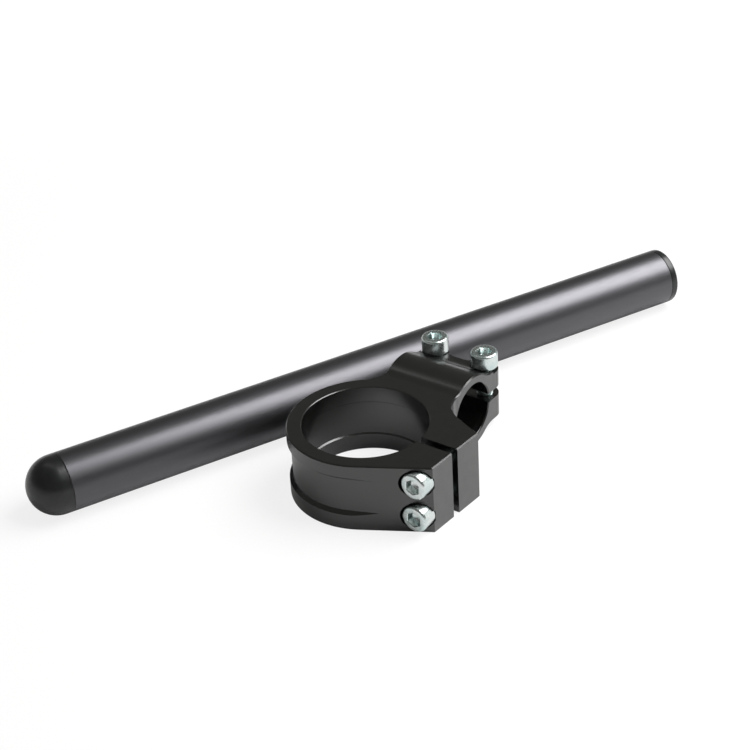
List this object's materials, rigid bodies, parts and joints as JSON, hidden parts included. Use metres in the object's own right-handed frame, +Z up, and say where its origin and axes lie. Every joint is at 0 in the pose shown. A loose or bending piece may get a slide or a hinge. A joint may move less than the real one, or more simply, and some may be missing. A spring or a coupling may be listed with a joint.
{
  "type": "clip-on handlebar",
  "caption": "Clip-on motorbike handlebar: a split fork clamp with a lobed, pinch-screwed bar boss, and its straight plugged bar tube lying beside it.",
  "frame": {"origin": "on the fork axis, at the underside of the clamp that it lies on", "axes": "+Z up along the fork axis, +X along the bar bore towards the pinch ears, +Y from the fork axis to the bar bore"},
  "size_m": [0.1343, 0.2553, 0.0305],
  "materials": {
    "anodised_clamp": "satin black anodised",
    "anodised_bar": "satin black anodised, drawn along the bar",
    "zinc_screw": "bright zinc plated",
    "end_plug": "black moulded plastic"
  },
  "bodies": {
    "root": {"clamp_body": "anodised_clamp", "fork_clamp_screws": "zinc_screw", "bar_clamp_screws": "zinc_screw", "bar_tube": "anodised_bar", "domed_end_plug": "end_plug", "flat_end_plug": "end_plug"}
  },
  "joints": []
}
